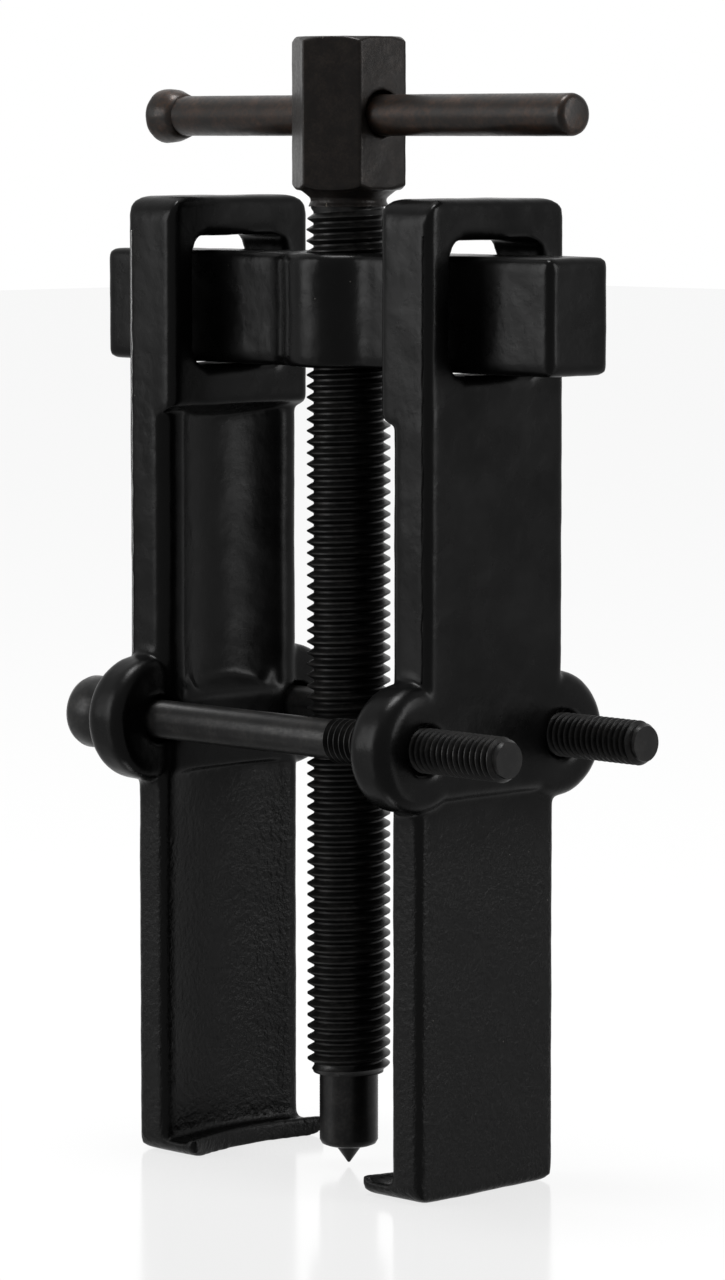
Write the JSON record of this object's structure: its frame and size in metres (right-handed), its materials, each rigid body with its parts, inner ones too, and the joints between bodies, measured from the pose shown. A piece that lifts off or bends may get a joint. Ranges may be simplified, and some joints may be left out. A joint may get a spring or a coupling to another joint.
{
  "type": "two-jaw gear puller",
  "caption": "Small two-jaw gear puller: forged jaws slide on a crossbar, clamp bolts draw them in, and a forcing screw with a tommy bar pushes on the shaft.",
  "frame": {"origin": "on the forcing screw's axis at the level of the jaws' feet, just under the screw's point", "axes": "+Z along the forcing screw towards its head, +X along the crossbar towards the jaw that the clamp bolts screw into, +Y across the jaws"},
  "size_m": [0.0867, 0.043, 0.153],
  "materials": {
    "black_paint": "satin black paint over forged steel",
    "black_oxide": "oiled black oxide on machined steel",
    "brown_oxide": "worn brown-black oxide on drawn bar"
  },
  "bodies": {
    "crossbar": {"crossbar": "black_paint"},
    "centre_pin": {"centre_pin": "black_oxide"},
    "forcing_screw": {"forcing_screw": "black_oxide"},
    "tommy_bar": {"tommy_bar": "brown_oxide"},
    "left_jaw": {"left_jaw": "black_paint", "front_washer": "black_oxide", "rear_washer": "black_oxide"},
    "right_jaw": {"right_jaw": "black_paint"},
    "front_clamp_bolt": {"front_clamp_bolt": "black_oxide"},
    "rear_clamp_bolt": {"rear_clamp_bolt": "black_oxide"}
  },
  "joints": [
    {"name": "screw_travel", "type": "slide", "parent": "crossbar", "child": "centre_pin", "axis": [0, 0, 1], "range_m": [-0.006, 0.078]},
    {"name": "screw_turn", "type": "hinge", "parent": "centre_pin", "child": "forcing_screw", "pos_m": [0, 0, 0], "axis": [0, 0, 1], "range_deg": [-1441, 18721]},
    {"name": "tommy_slide", "type": "slide", "parent": "forcing_screw", "child": "tommy_bar", "axis": [0.9981, -0.061, 0], "range_m": [-0.034, 0.026]},
    {"name": "left_jaw_slide", "type": "slide", "parent": "crossbar", "child": "left_jaw", "axis": [1, 0, 0], "range_m": [-0.007, 0.0045]},
    {"name": "right_jaw_slide", "type": "slide", "parent": "crossbar", "child": "right_jaw", "axis": [-1, 0, 0], "range_m": [-0.0071, 0.0046]},
    {"name": "front_bolt_turn", "type": "hinge", "parent": "left_jaw", "child": "front_clamp_bolt", "pos_m": [0, -0.013, 0.0604], "axis": [1, 0, 0], "range_deg": [-5041, 3241]},
    {"name": "rear_bolt_turn", "type": "hinge", "parent": "left_jaw", "child": "rear_clamp_bolt", "pos_m": [0, 0.013, 0.0604], "axis": [1, 0, 0], "range_deg": [-5041, 3241]}
  ],
  "couplings": [
    {"joint": "screw_turn", "follows": "screw_travel", "rad_per_m": 4188.8},
    {"joint": "right_jaw_slide", "follows": "left_jaw_slide", "ratio": 1},
    {"joint": "front_bolt_turn", "follows": "left_jaw_slide", "rad_per_m": 12566},
    {"joint": "rear_bolt_turn", "follows": "left_jaw_slide", "rad_per_m": 12566}
  ]
}
